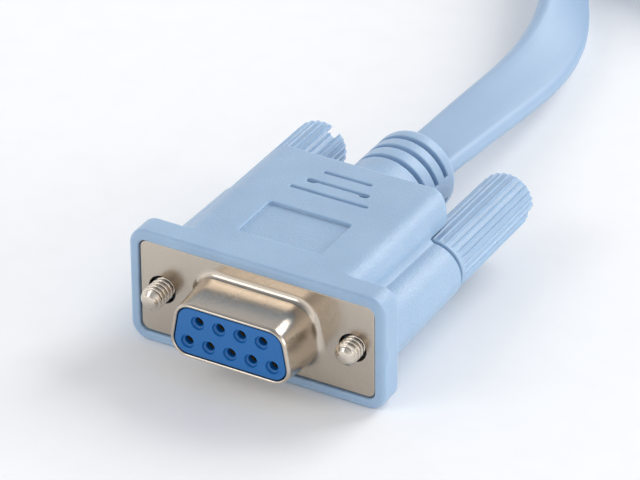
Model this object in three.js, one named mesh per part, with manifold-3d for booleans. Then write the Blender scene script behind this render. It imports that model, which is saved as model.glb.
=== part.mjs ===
// Console cable: a moulded 9-way D-sub socket with thumbscrews, 1.8 m of flat cable
// and a clear 8-way modular plug. Millimetres, +Z up, the socket faces -Y.
import * as THREE from 'three';
import { mergeVertices } from 'three/addons/utils/BufferGeometryUtils.js';
import Module from 'manifold-3d';

const wasm = await Module();
wasm.setup();

// Clearances
const SEAT_GAP = 0.3;
const CLOSE_GAP = 0.12;

// Hood: one soft moulding that holds the shells, the screws and the cable
const HOOD_HEIGHT = 14.8;
const FLANGE_WIDTH = 33.4;
const FLANGE_CORNER = 2.2;
const FLANGE_EDGE = 0.55;
const FLANGE_RIM = 0.3; // how far the flange stands in front of the metal plate
const FLANGE_THICKNESS = 3.3;
const BODY_WIDTH = 24.2;
const BODY_FILLET = 2.7;
const BODY_LENGTH = 21.3; // behind the flange
const BODY_REAR_CORNER = 2.6;
const BARREL_FRONT_RADIUS = 4.05;
const BARREL_REAR_RADIUS = 3.72;
const BARREL_LENGTH = 15.9; // behind the flange
const BARREL_EDGE = 0.3;

// Marks sunk in the hood's top face
const LABEL_WIDTH = 10.6;
const LABEL_LENGTH = 6.9;
const LABEL_SETBACK = 2.2; // behind the flange
const LABEL_CORNER = 0.4;
const MARK_DEPTH = 0.3;
const SLOT_WIDTH = 0.5;
const SLOT_PITCH = 2.24;
const SLOT_SETBACK = 13.55; // of the longest slot, behind the flange
const SLOT_LENGTHS = [10.28, 8.16, 6.4];
const PIT_LENGTH = 1.3;
const PIT_DEPTH = 0.8;

// Strain relief, moulded with the hood
const RELIEF_RADIUS = 5.35;
const RELIEF_LENGTH = 13.7; // behind the body
const RELIEF_EDGE = 1.3;
const GROOVE_WIDTH = 0.75;
const GROOVE_DEPTH = 1.1;
const GROOVES = [6.3, 8.85, 11.1]; // behind the body
const GROOVE_SPREAD = 148; // degrees about the top and about the bottom

// Metal front shell: the plate and the D-shaped shroud drawn out of it
const PLATE_WIDTH = 30.7;
const PLATE_HEIGHT = 12;
const PLATE_CORNER = 1;
const SHELL_WALL = 0.45;
const SHROUD_WIDTH = 16.33;
const SHROUD_HEIGHT = 7.9;
const SHROUD_RADIUS = 2.59;
const SHROUD_SLOPE = 10; // degrees, of both sides
const SHROUD_REACH = 6.15; // in front of the plate
const SHROUD_FILLET = 0.85;
const SHROUD_LIP = 0.15;

// Insulator and contacts
const FACE_SETBACK = 0.12; // the insulator's face behind the shroud's rim
const INSULATOR_REAR_STEP = 0.9; // how much bigger it is behind the plate
const INSULATOR_REAR = 5.5; // behind the plate's front
const CONTACT_PITCH = 2.77;
const CONTACT_ROW = 2.84;
const LOWER_CONTACTS = 5;
const UPPER_CONTACTS = 4;
const CONTACT_RADIUS = 0.78;
const CONTACT_BORE = 0.51;
const CONTACT_SETBACK = 1.1; // behind the insulator's face
const CONTACT_LENGTH = 13.8;
const CONTACT_BORE_DEPTH = 6;
const ENTRY_RADIUS = 0.575;
const ENTRY_FUNNEL = 0.87;
const ENTRY_FUNNEL_DEPTH = 0.4;
const CUP_BORE = 0.55;
const CUP_DEPTH = 2.6;

// Rear shell
const SKIRT_REAR = 4.9; // behind the plate's front
const REAR_WALL = 0.4;

// Thumbscrews
const SCREW_SPACING = 24.99;
const SCREW_RADIUS = 1.42;
const SCREW_TIP_RADIUS = 0.85;
const SCREW_TIP_TAPER = 0.6;
const SCREW_HOLE = 1.8;
const SCREW_LENGTH = 31;
const LEFT_TIP_REACH = 3.19; // in front of the plate
const RIGHT_TIP_REACH = 2.31;
const KNOB_FRONT_RADIUS = 3.55;
const KNOB_REAR_RADIUS = 3.43;
const KNOB_LENGTH = 18.3;
const KNOB_END_ROUND = 1.1;
const KNOB_SLOT_WIDTH = 1.25;
const KNOB_SLOT_DEPTH = 1.9;
const LEFT_KNOB_GAP = 0.3; // behind the barrel
const RIGHT_KNOB_GAP = 0.45;
const LEFT_SLOT_TURN = -55; // degrees about the screw
const RIGHT_SLOT_TURN = 20;
const KNOB_CLEARANCE = 0.35;

// Flat cable
const CABLE_WIDTH = 7.75;
const CABLE_THICKNESS = 2.4;
const HANK_PITCH = 2.45;
const HANK_LAPS = 5.5;
const HANK_INNER_RADIUS = 15.4;
const HANK_HALF_RUN = 39.8;
const HANK_X = 12.65;
const HANK_Y = 167.15; // behind the plate's front

// Straps that hold the hank
const TIE_WIDTH = 10;
const TIE_THICKNESS = 0.8;
const TIE_OVERLAP = 9;

// Modular plug
const PLUG_WIDTH = 11.7;
const PLUG_LENGTH = 21.5;
const PLUG_NOSE_HEIGHT = 6.6;
const PLUG_HEIGHT = 8;
const PLUG_NOSE_LENGTH = 8.2;
const PLUG_Y = 134.5; // of its nose, behind the plate's front
const ENTRY_DEPTH = 10;
const LATCH_ROOT_WIDTH = 6.2;
const LATCH_TIP_WIDTH = 3.3;
const LATCH_THICKNESS = 0.9;
const LATCH_LENGTH = 14;
const LATCH_RISE = 4.2;
const PLUG_CONTACTS = 8;
const PLUG_PITCH = 1.02;
const PLUG_SLOT_WIDTH = 0.5;
const PLUG_SLOT_LENGTH = 5.6;
const PLUG_SLOT_HEIGHT = 3;
const BLADE_THICKNESS = 0.3;
const BLADE_INSET = 0.2;

// Roundness of the faceted solids
const CORNER_STEPS = 4;
const ROUND_STEPS = 32;
const SMALL_STEPS = 12;

// Places that follow from the sizes. Y is 0 at the front of the metal plate and Z is 0 on the
// connector's axis.
const flangeFront = -FLANGE_RIM;
const flangeBack = flangeFront + FLANGE_THICKNESS;
const bodyBack = flangeBack + BODY_LENGTH;
const barrelBack = flangeBack + BARREL_LENGTH;
const reliefBack = bodyBack + RELIEF_LENGTH;
const shroudFront = -SHROUD_REACH;
const faceY = shroudFront + FACE_SETBACK;
const screwX = SCREW_SPACING / 2;
const floorZ = -HOOD_HEIGHT / 2;
const rearPlateFront = SHELL_WALL + SEAT_GAP;
const contactFront = faceY + CONTACT_SETBACK;
const contactBack = contactFront + CONTACT_LENGTH;
const leftKnobFront = barrelBack + LEFT_KNOB_GAP;
const rightKnobFront = barrelBack + RIGHT_KNOB_GAP;
const connectorBack = Math.max(reliefBack, rightKnobFront + KNOB_LENGTH);
const hankZ = floorZ + TIE_THICKNESS + SEAT_GAP + CABLE_WIDTH / 2;
const hankOuterRadius = HANK_INNER_RADIUS + HANK_LAPS * HANK_PITCH;

const radians = (degrees) => (degrees * Math.PI) / 180;
const point = (x, y) => new THREE.Vector2(x, y);

// A closed mesh as a solid that can be joined and cut
function solid(geometry) {
  const bare = geometry.clone();
  bare.deleteAttribute('normal');
  bare.deleteAttribute('uv');
  const merged = mergeVertices(bare, 1e-4);
  const vertProperties = new Float32Array(merged.attributes.position.array);
  const triVerts = new Uint32Array(merged.index.array);
  return new wasm.Manifold(new wasm.Mesh({ numProp: 3, vertProperties, triVerts }));
}

function joined(first, ...others) {
  return others.reduce((whole, other) => whole.add(other), first);
}

function cut(first, ...others) {
  return others.reduce((whole, other) => whole.subtract(other), first);
}

// A solid as a named mesh
function mesh(name, shape, material) {
  const { vertProperties, triVerts } = shape.getMesh();
  const geometry = new THREE.BufferGeometry();
  geometry.setAttribute('position', new THREE.BufferAttribute(new Float32Array(vertProperties), 3));
  geometry.setIndex(new THREE.BufferAttribute(new Uint32Array(triVerts), 1));
  geometry.computeVertexNormals();
  const made = new THREE.Mesh(geometry, material);
  made.name = name;
  return made;
}

function box(width, length, height, x, y, z) {
  return solid(new THREE.BoxGeometry(width, length, height).translate(x, y, z));
}

// A profile of [radius, y] pairs turned about a line along Y at x and z
function turned(profile, x = 0, z = 0, steps = ROUND_STEPS) {
  const points = profile.map(([radius, y]) => point(radius, y));
  return solid(new THREE.LatheGeometry(points, steps).translate(x, 0, z));
}

function rod(radius, front, back, x = 0, z = 0, steps = ROUND_STEPS) {
  return turned([[0, front], [radius, front], [radius, back], [0, back]], x, z, steps);
}

// A shape drawn in X and Z that runs along Y
function alongY(shape, front, back) {
  const geometry = new THREE.ExtrudeGeometry(shape, { depth: back - front, bevelEnabled: false });
  return solid(geometry.rotateX(Math.PI / 2).translate(0, back, 0));
}

// A shape drawn in X and Y that rises along Z
function alongZ(shape, bottom, top, steps = CORNER_STEPS) {
  const options = { depth: top - bottom, bevelEnabled: false, curveSegments: steps };
  return solid(new THREE.ExtrudeGeometry(shape, options).translate(0, 0, bottom));
}

// A shape drawn in Y and Z that is as wide as width along X
function alongX(shape, width, x = 0) {
  const geometry = new THREE.ExtrudeGeometry(shape, { depth: width, bevelEnabled: false });
  geometry.applyMatrix4(new THREE.Matrix4().makeBasis(
    new THREE.Vector3(0, 1, 0), new THREE.Vector3(0, 0, 1), new THREE.Vector3(1, 0, 0)));
  return solid(geometry.translate(x - width / 2, 0, 0));
}

// A round-cornered outline is the corner centres with their arcs, so that it grows and shrinks
// by its radius alone
function rectangleCorners(width, height, radius) {
  const x = width / 2 - radius;
  const z = height / 2 - radius;
  return [[x, -z, -90, 0], [x, z, 0, 90], [-x, z, 90, 180], [-x, -z, 180, 270]];
}

// The D-sub outline, wide side down
function dCorners() {
  const z = SHROUD_HEIGHT / 2 - SHROUD_RADIUS;
  const wide = SHROUD_WIDTH / 2 - SHROUD_RADIUS;
  const narrow = wide - 2 * z * Math.tan(radians(SHROUD_SLOPE));
  const slope = SHROUD_SLOPE;
  return [[wide, -z, -90, slope], [narrow, z, slope, 90],
    [-narrow, z, 90, 180 - slope], [-wide, -z, 180 - slope, 270]];
}

function outline(corners, radius) {
  return corners.flatMap(([x, z, from, to]) => {
    const arc = [];
    for (let step = 0; step <= CORNER_STEPS; step += 1) {
      const angle = radians(from + ((to - from) * step) / CORNER_STEPS);
      arc.push(point(x + radius * Math.cos(angle), z + radius * Math.sin(angle)));
    }
    return arc;
  });
}

// Closed skin over equal rings of points, with flat convex ends
function skin(rings) {
  const count = rings[0].length;
  const index = [];
  for (let ring = 0; ring < rings.length - 1; ring += 1) {
    for (let at = 0; at < count; at += 1) {
      const next = (at + 1) % count;
      const a = ring * count + at;
      const b = ring * count + next;
      index.push(a, b, a + count, b, b + count, a + count);
    }
  }
  const last = (rings.length - 1) * count;
  for (let at = 1; at < count - 1; at += 1) {
    index.push(0, at + 1, at, last, last + at, last + at + 1);
  }
  const geometry = new THREE.BufferGeometry().setFromPoints(rings.flat());
  geometry.setIndex(index);
  return solid(geometry);
}

// An outline whose radius changes along Y: levels are [radius, y] pairs, front first
function stacked(corners, levels) {
  const rings = levels.map(([radius, y]) =>
    outline(corners, radius).map(({ x, y: z }) => new THREE.Vector3(x, y, z)).reverse());
  return skin(rings);
}

function roundShape(width, length, radius, x, y) {
  const shape = new THREE.Shape();
  const [left, right, front, back] = [x - width / 2, x + width / 2, y - length / 2, y + length / 2];
  shape.moveTo(left + radius, front);
  shape.lineTo(right - radius, front);
  shape.absarc(right - radius, front + radius, radius, -Math.PI / 2, 0);
  shape.absarc(right - radius, back - radius, radius, 0, Math.PI / 2);
  shape.absarc(left + radius, back - radius, radius, Math.PI / 2, Math.PI);
  shape.absarc(left + radius, front + radius, radius, Math.PI, 1.5 * Math.PI);
  return shape;
}

// Hood

function flange() {
  const corners = rectangleCorners(FLANGE_WIDTH, HOOD_HEIGHT, FLANGE_CORNER);
  return stacked(corners, [
    [FLANGE_CORNER - FLANGE_EDGE, flangeFront],
    [FLANGE_CORNER - 0.3 * FLANGE_EDGE, flangeFront + 0.3 * FLANGE_EDGE],
    [FLANGE_CORNER, flangeFront + FLANGE_EDGE],
    [FLANGE_CORNER, flangeBack - FLANGE_EDGE / 2],
    [FLANGE_CORNER - FLANGE_EDGE / 2, flangeBack],
  ]);
}

function body() {
  const front = (flangeFront + flangeBack) / 2;
  const section = stacked(rectangleCorners(BODY_WIDTH, HOOD_HEIGHT, BODY_FILLET),
    [[BODY_FILLET, front], [BODY_FILLET, bodyBack]]);
  const plan = roundShape(BODY_WIDTH, 2 * (bodyBack - front), BODY_REAR_CORNER, 0, front);
  return section.intersect(alongZ(plan, floorZ, -floorZ));
}

function barrel(x) {
  const front = (flangeFront + flangeBack) / 2;
  return turned([[0, front], [BARREL_FRONT_RADIUS, front],
    [BARREL_REAR_RADIUS, barrelBack - BARREL_EDGE],
    [BARREL_REAR_RADIUS - BARREL_EDGE, barrelBack], [0, barrelBack]], x);
}

function knobRoom(x) {
  const radius = KNOB_FRONT_RADIUS + KNOB_CLEARANCE;
  return rod(radius, barrelBack, bodyBack + SEAT_GAP, x);
}

function relief() {
  const arc = [];
  for (let step = 0; step <= CORNER_STEPS; step += 1) {
    const angle = (Math.PI / 2 * step) / CORNER_STEPS;
    arc.push([RELIEF_RADIUS - RELIEF_EDGE * (1 - Math.cos(angle)),
      reliefBack - RELIEF_EDGE * (1 - Math.sin(angle))]);
  }
  const front = bodyBack - BODY_REAR_CORNER;
  return turned([[0, front], [RELIEF_RADIUS, front], ...arc, [0, reliefBack]]);
}

// A groove across the relief, about the direction middle in degrees
function groove(y, middle) {
  const bottom = RELIEF_RADIUS - GROOVE_DEPTH;
  const outside = RELIEF_RADIUS + GROOVE_DEPTH;
  const front = y - GROOVE_WIDTH / 2;
  const back = y + GROOVE_WIDTH / 2;
  const profile = [[bottom, front], [outside, front], [outside, back], [bottom, back], [bottom, front]];
  const ring = turned(profile);
  const wedge = new THREE.Shape();
  wedge.moveTo(0, 0);
  for (let step = 0; step <= CORNER_STEPS; step += 1) {
    const angle = radians(middle + GROOVE_SPREAD * (step / CORNER_STEPS - 0.5));
    wedge.lineTo(2 * outside * Math.cos(angle), 2 * outside * Math.sin(angle));
  }
  return ring.intersect(alongY(wedge, front - GROOVE_WIDTH, back + GROOVE_WIDTH));
}

function reliefGrooves() {
  return GROOVES.flatMap((behind) => [90, 270].map((middle) => groove(bodyBack + behind, middle)));
}

function marks() {
  const above = -floorZ + MARK_DEPTH;
  const bottom = -floorZ - MARK_DEPTH;
  const labelY = flangeBack + LABEL_SETBACK + LABEL_LENGTH / 2;
  const cuts = [alongZ(roundShape(LABEL_WIDTH, LABEL_LENGTH, LABEL_CORNER, 0, labelY), bottom, above)];
  SLOT_LENGTHS.forEach((length, row) => {
    const y = flangeBack + SLOT_SETBACK + row * SLOT_PITCH;
    cuts.push(box(length, SLOT_WIDTH, above - bottom, 0, y, -floorZ));
    if (row === 1) {
      for (const side of [-1, 1]) {
        const x = (side * (length - PIT_LENGTH)) / 2;
        cuts.push(box(PIT_LENGTH, SLOT_WIDTH, 2 * PIT_DEPTH, x, y, -floorZ));
      }
    }
  });
  return cuts;
}

function frontRecess() {
  const radius = PLATE_CORNER + CLOSE_GAP;
  const corners = rectangleCorners(PLATE_WIDTH, PLATE_HEIGHT, PLATE_CORNER);
  const back = rearPlateFront + REAR_WALL + SEAT_GAP;
  return stacked(corners, [[radius, flangeFront - SEAT_GAP], [radius, back]]);
}

function rearPocket() {
  const radius = SHROUD_RADIUS + INSULATOR_REAR_STEP + CLOSE_GAP + REAR_WALL + SEAT_GAP;
  return stacked(dCorners(), [[radius, 0], [radius, contactBack + SEAT_GAP]]);
}

function hood() {
  const whole = joined(flange(), body(), barrel(-screwX), barrel(screwX));
  const roomy = cut(whole, knobRoom(-screwX), knobRoom(screwX));
  const bores = [-screwX, screwX].map((x) => rod(SCREW_HOLE, flangeFront, bodyBack, x, 0, SMALL_STEPS));
  return cut(joined(roomy, relief()), ...reliefGrooves(), ...marks(), frontRecess(), rearPocket(), ...bores);
}

// Shells, insulator and contacts

function frontShell() {
  const plate = stacked(rectangleCorners(PLATE_WIDTH, PLATE_HEIGHT, PLATE_CORNER),
    [[PLATE_CORNER, 0], [PLATE_CORNER, SHELL_WALL]]);
  const flare = 0.3 * SHROUD_FILLET;
  const shroud = stacked(dCorners(), [
    [SHROUD_RADIUS - SHROUD_LIP, shroudFront],
    [SHROUD_RADIUS, shroudFront + SHROUD_LIP],
    [SHROUD_RADIUS, -SHROUD_FILLET],
    [SHROUD_RADIUS + flare, -flare],
    [SHROUD_RADIUS + SHROUD_FILLET, SHELL_WALL / 2],
  ]);
  const inside = SHROUD_RADIUS - SHELL_WALL;
  const opening = stacked(dCorners(),
    [[inside, shroudFront - SEAT_GAP], [inside, SHELL_WALL + SEAT_GAP]]);
  const holes = [-screwX, screwX].map((x) =>
    rod(SCREW_HOLE, -SEAT_GAP, SHELL_WALL + SEAT_GAP, x, 0, ROUND_STEPS));
  return cut(joined(plate, shroud), opening, ...holes);
}

const contactPlaces = [];
for (const [count, row] of [[LOWER_CONTACTS, -1], [UPPER_CONTACTS, 1]]) {
  for (let at = 0; at < count; at += 1) {
    contactPlaces.push([(at - (count - 1) / 2) * CONTACT_PITCH, (row * CONTACT_ROW) / 2]);
  }
}

function contactHole([x, z]) {
  const wide = CONTACT_RADIUS + CLOSE_GAP;
  const step = contactFront - CLOSE_GAP;
  return turned([[0, faceY - SEAT_GAP], [ENTRY_FUNNEL, faceY - SEAT_GAP], [ENTRY_FUNNEL, faceY],
    [ENTRY_RADIUS, faceY + ENTRY_FUNNEL_DEPTH], [ENTRY_RADIUS, step], [wide, step],
    [wide, INSULATOR_REAR + SEAT_GAP], [0, INSULATOR_REAR + SEAT_GAP]], x, z, SMALL_STEPS);
}

function insulator() {
  const inside = SHROUD_RADIUS - SHELL_WALL - CLOSE_GAP;
  const outside = SHROUD_RADIUS + INSULATOR_REAR_STEP;
  const front = stacked(dCorners(), [[inside, faceY], [inside, rearPlateFront + SEAT_GAP]]);
  const rear = stacked(dCorners(), [[outside, rearPlateFront], [outside, INSULATOR_REAR]]);
  return cut(joined(front, rear), ...contactPlaces.map(contactHole));
}

function rearShell() {
  const inside = SHROUD_RADIUS + INSULATOR_REAR_STEP + CLOSE_GAP;
  const outside = inside + REAR_WALL;
  const back = rearPlateFront + REAR_WALL;
  const plate = stacked(rectangleCorners(PLATE_WIDTH, PLATE_HEIGHT, PLATE_CORNER),
    [[PLATE_CORNER, rearPlateFront], [PLATE_CORNER, back]]);
  const skirt = stacked(dCorners(), [[outside, rearPlateFront], [outside, SKIRT_REAR]]);
  const opening = stacked(dCorners(), [[inside, 0], [inside, SKIRT_REAR + SEAT_GAP]]);
  const holes = [-screwX, screwX].map((x) => rod(SCREW_HOLE, 0, back + SEAT_GAP, x, 0, SMALL_STEPS));
  return cut(joined(plate, skirt), opening, ...holes);
}

function contact([x, z]) {
  return turned([[0, contactFront + CONTACT_BORE_DEPTH], [CONTACT_BORE, contactFront + CONTACT_BORE_DEPTH],
    [CONTACT_BORE, contactFront], [CONTACT_RADIUS, contactFront], [CONTACT_RADIUS, contactBack],
    [CUP_BORE, contactBack], [CUP_BORE, contactBack - CUP_DEPTH], [0, contactBack - CUP_DEPTH]],
  x, z, SMALL_STEPS);
}

// Thumbscrews

function screw(x, tipReach) {
  return turned([[0, -tipReach], [SCREW_TIP_RADIUS, -tipReach], [SCREW_RADIUS, SCREW_TIP_TAPER - tipReach],
    [SCREW_RADIUS, SCREW_LENGTH - tipReach], [0, SCREW_LENGTH - tipReach]], x, 0, SMALL_STEPS);
}

function knob(x, front, slotTurn, tipReach) {
  const back = front + KNOB_LENGTH;
  const shoulder = KNOB_REAR_RADIUS - KNOB_END_ROUND;
  const middle = [shoulder + 0.7 * KNOB_END_ROUND, back - 0.3 * KNOB_END_ROUND];
  const outside = turned([[0, front], [KNOB_FRONT_RADIUS, front], [KNOB_REAR_RADIUS, back - KNOB_END_ROUND],
    middle, [shoulder, back], [0, back]]);
  const socket = rod(SCREW_RADIUS + SEAT_GAP, front - SEAT_GAP, SCREW_LENGTH - tipReach + SEAT_GAP,
    0, 0, SMALL_STEPS);
  const slot = box(3 * KNOB_FRONT_RADIUS, 2 * KNOB_SLOT_DEPTH, KNOB_SLOT_WIDTH, 0, back, 0);
  return cut(outside, socket, slot.rotate([0, slotTurn, 0])).translate([x, 0, 0]);
}

// Cable

// Flat section with round edges, swept along stations of { at, turn }: turn is the angle of its
// width from level, about the way it runs
function flatCable(stations) {
  const path = new THREE.CatmullRomCurve3(stations.map(({ at }) => at), false, 'centripetal');
  const reach = (CABLE_WIDTH - CABLE_THICKNESS) / 2;
  const rings = stations.map(({ turn }, index) => {
    const way = path.getTangent(index / (stations.length - 1));
    const level = new THREE.Vector3(way.y, -way.x, 0).normalize();
    const across = level.clone().applyAxisAngle(way, radians(turn));
    const through = new THREE.Vector3().crossVectors(way, across);
    const ring = [];
    for (const side of [1, -1]) {
      for (let step = 0; step <= CORNER_STEPS; step += 1) {
        const angle = Math.PI * (step / CORNER_STEPS - 0.5);
        const wide = side * (reach + (CABLE_THICKNESS / 2) * Math.cos(angle));
        const thick = side * (CABLE_THICKNESS / 2) * Math.sin(angle);
        ring.push(stations[index].at.clone().addScaledVector(across, wide).addScaledVector(through, thick));
      }
    }
    return ring;
  });
  return skin(rings);
}

const station = ([x, y, z, turn]) => ({ at: new THREE.Vector3(x, y, floorZ + z), turn });
const runX = HANK_X - hankOuterRadius;
const runZ = hankZ - floorZ;
const runY = HANK_Y - HANK_HALF_RUN;
const exitZ = -floorZ;

// Out of the relief, sinking and turning on edge, and over to the hank's outer run
const leadStations = [
  [0, reliefBack + SEAT_GAP, exitZ, 0],
  [0, 42, exitZ - 0.15, 2],
  [0, 46, exitZ - 0.45, 5],
  [-0.1, 50, exitZ - 0.8, 8],
  [-0.2, 55, exitZ - 1.25, 12],
  [-0.3, 60, exitZ - 1.75, 16],
  [-0.5, 65, exitZ - 2.25, 20],
  [-0.9, 70, exitZ - 2.6, 24.5],
  [-1.7, 75, exitZ - 2.8, 30],
  [-3, 80, exitZ - 2.82, 37],
  [-4.9, 85, exitZ - 2.75, 45],
  [-7.2, 90, exitZ - 2.65, 54],
  [-9.7, 95, exitZ - 2.55, 63],
  [-12.2, 99.5, runZ, 72],
  [-14.2, 104, runZ, 80],
  [-15.45, 108.5, runZ, 86],
  [-16.15, 114, runZ, 90],
  [runX, 119.5, runZ, 90],
  [runX, runY, runZ, 90],
].map(station);

const innerX = HANK_X + HANK_INNER_RADIUS;
const innerY = HANK_Y + HANK_HALF_RUN;
const plugZ = PLUG_HEIGHT / 2;
const plugBack = PLUG_Y + PLUG_LENGTH;

// Off the innermost turn, over to the middle of the hank and flat again into the plug
const tailStations = [
  [innerX, innerY - SEAT_GAP, runZ, 90],
  [innerX - 0.3, 203, runZ, 88],
  [innerX - 1.4, 197, runZ - 0.05, 81],
  [innerX - 3.6, 191, runZ - 0.15, 70],
  [innerX - 6.4, 186, runZ - 0.3, 57],
  [innerX - 9.3, 181, runZ - 0.45, 43],
  [innerX - 12, 176, runZ - 0.6, 28],
  [innerX - 14, 171, plugZ + 0.1, 14],
  [innerX - 15.1, 166, plugZ, 5],
  [HANK_X, 161, plugZ, 0],
  [HANK_X, plugBack, plugZ, 0],
  [HANK_X, plugBack - ENTRY_DEPTH + SEAT_GAP, plugZ, 0],
].map(station);

function runOutline(radius) {
  const shape = new THREE.Shape();
  shape.absarc(HANK_X, HANK_Y + HANK_HALF_RUN, radius, 0, Math.PI);
  shape.absarc(HANK_X, HANK_Y - HANK_HALF_RUN, radius, Math.PI, 2 * Math.PI);
  return shape;
}

// The outer shape of the wound hank: a ring with round ends, notched where the cable joins and
// leaves it
function hank() {
  const half = CABLE_THICKNESS / 2;
  const bottom = hankZ - CABLE_WIDTH / 2;
  const top = hankZ + CABLE_WIDTH / 2;
  const outside = alongZ(runOutline(hankOuterRadius + half), bottom, top, ROUND_STEPS / 2);
  const inside = alongZ(runOutline(HANK_INNER_RADIUS - half), bottom - 1, top + 1, ROUND_STEPS / 2);
  const notch = CABLE_THICKNESS + 2 * SEAT_GAP;
  const tall = 2 * CABLE_WIDTH;
  const long = 2 * HANK_HALF_RUN;
  const join = box(notch, long, tall, runX, runY + SEAT_GAP - long / 2, hankZ);
  const leave = box(notch, long, tall, innerX, innerY - long / 2, hankZ);
  return cut(outside, inside, join, leave);
}

// A strap round one side of the hank, its end lapped over itself on top
function tie(side) {
  const inner = HANK_INNER_RADIUS - CABLE_THICKNESS / 2 - SEAT_GAP;
  const outer = hankOuterRadius + CABLE_THICKNESS / 2 + SEAT_GAP;
  const x = HANK_X + (side * (inner + outer)) / 2;
  const width = outer - inner;
  const height = CABLE_WIDTH + 2 * SEAT_GAP;
  const front = HANK_Y - TIE_WIDTH / 2;
  const back = HANK_Y + TIE_WIDTH / 2;
  const radius = TIE_THICKNESS / 2;
  const corners = rectangleCorners(width, height, radius);
  const loop = cut(stacked(corners, [[radius + TIE_THICKNESS, front], [radius + TIE_THICKNESS, back]]),
    stacked(corners, [[radius, front - 1], [radius, back + 1]]));
  const lapZ = height / 2 + 1.45 * TIE_THICKNESS;
  const lap = box(TIE_OVERLAP, TIE_WIDTH, 1.1 * TIE_THICKNESS, 0, HANK_Y, lapZ);
  return joined(loop, lap).translate([x, 0, hankZ]);
}

// Modular plug, lying with its latch up

function plugBody() {
  const side = new THREE.Shape();
  side.moveTo(PLUG_Y, floorZ);
  side.lineTo(plugBack, floorZ);
  side.lineTo(plugBack, floorZ + PLUG_HEIGHT);
  side.lineTo(PLUG_Y + PLUG_NOSE_LENGTH + 2, floorZ + PLUG_HEIGHT);
  side.lineTo(PLUG_Y + PLUG_NOSE_LENGTH, floorZ + PLUG_NOSE_HEIGHT);
  side.lineTo(PLUG_Y, floorZ + PLUG_NOSE_HEIGHT);
  const block = alongX(side, PLUG_WIDTH, HANK_X);
  const entry = box(CABLE_WIDTH + 2 * SEAT_GAP, 2 * ENTRY_DEPTH, CABLE_THICKNESS + 2 * SEAT_GAP,
    HANK_X, plugBack, floorZ + plugZ);
  const slots = bladePlaces.map((x) => box(PLUG_SLOT_WIDTH, 2 * PLUG_SLOT_LENGTH, 2 * PLUG_SLOT_HEIGHT,
    x, PLUG_Y, floorZ));
  return cut(joined(block, latch()), entry, ...slots);
}

function latch() {
  const rootY = PLUG_Y + LATCH_THICKNESS;
  const rootZ = floorZ + PLUG_NOSE_HEIGHT;
  const side = new THREE.Shape();
  side.moveTo(rootY - LATCH_THICKNESS, rootZ - LATCH_THICKNESS);
  side.lineTo(rootY + LATCH_THICKNESS, rootZ - LATCH_THICKNESS);
  side.lineTo(rootY + LATCH_THICKNESS, rootZ + 0.2 * LATCH_THICKNESS);
  side.lineTo(rootY + LATCH_LENGTH, rootZ + LATCH_RISE - LATCH_THICKNESS);
  side.lineTo(rootY + LATCH_LENGTH, rootZ + LATCH_RISE);
  side.lineTo(rootY - LATCH_THICKNESS, rootZ + LATCH_THICKNESS);
  const strip = alongX(side, LATCH_ROOT_WIDTH, HANK_X);
  const plan = new THREE.Shape();
  const [wide, thin] = [LATCH_ROOT_WIDTH / 2, LATCH_TIP_WIDTH / 2];
  const step = rootY + 0.45 * LATCH_LENGTH;
  plan.moveTo(HANK_X - wide, PLUG_Y);
  plan.lineTo(HANK_X + wide, PLUG_Y);
  plan.lineTo(HANK_X + wide, step);
  plan.lineTo(HANK_X + thin, step);
  plan.lineTo(HANK_X + thin, rootY + LATCH_LENGTH);
  plan.lineTo(HANK_X - thin, rootY + LATCH_LENGTH);
  plan.lineTo(HANK_X - thin, step);
  plan.lineTo(HANK_X - wide, step);
  return strip.intersect(alongZ(plan, floorZ, rootZ + 2 * LATCH_RISE));
}

const bladePlaces = Array.from({ length: PLUG_CONTACTS },
  (_, at) => HANK_X + (at - (PLUG_CONTACTS - 1) / 2) * PLUG_PITCH);

function blade(x) {
  const length = PLUG_SLOT_LENGTH - 2 * BLADE_INSET - SEAT_GAP;
  const height = PLUG_SLOT_HEIGHT - BLADE_INSET - SEAT_GAP;
  return box(BLADE_THICKNESS, length, height, x, PLUG_Y + BLADE_INSET + length / 2,
    floorZ + BLADE_INSET + height / 2);
}

// Materials
const finish = (color, roughness, metalness = 0) =>
  new THREE.MeshStandardMaterial({ color, roughness, metalness });

const lightBlueVinyl = () => finish(0xa3bedc, 0.6);
const nickelPlate = () => finish(0xbdb2a5, 0.3, 1);
const screwSteel = () => finish(0xb9b0a4, 0.3, 1);
const blueInsulation = () => finish(0x2878be, 0.45);
const goldFlash = () => finish(0xc9a24a, 0.3, 1);
const clearPlastic = () => finish(0xdfe6ea, 0.15);
const strapFabric = () => finish(0x20242a, 0.9);

const connector = new THREE.Group();
connector.add(
  mesh('hood', hood(), lightBlueVinyl()),
  mesh('front_shell', frontShell(), nickelPlate()),
  mesh('rear_shell', rearShell(), nickelPlate()),
  mesh('insulator', insulator(), blueInsulation()),
  mesh('left_screw', screw(-screwX, LEFT_TIP_REACH), screwSteel()),
  mesh('right_screw', screw(screwX, RIGHT_TIP_REACH), screwSteel()),
  mesh('left_knob', knob(-screwX, leftKnobFront, LEFT_SLOT_TURN, LEFT_TIP_REACH), lightBlueVinyl()),
  mesh('right_knob', knob(screwX, rightKnobFront, RIGHT_SLOT_TURN, RIGHT_TIP_REACH), lightBlueVinyl()),
);
contactPlaces.forEach((place, at) => {
  connector.add(mesh(`contact_${at + 1}`, contact(place), goldFlash()));
});

const cord = new THREE.Group();
cord.add(
  mesh('cable_lead', flatCable(leadStations), lightBlueVinyl()),
  mesh('cable_hank', hank(), lightBlueVinyl()),
  mesh('cable_tail', flatCable(tailStations), lightBlueVinyl()),
  mesh('left_tie', tie(-1), strapFabric()),
  mesh('right_tie', tie(1), strapFabric()),
  mesh('plug_body', plugBody(), clearPlastic()),
);
bladePlaces.forEach((x, at) => {
  cord.add(mesh(`plug_contact_${at + 1}`, blade(x), goldFlash()));
});

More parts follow.
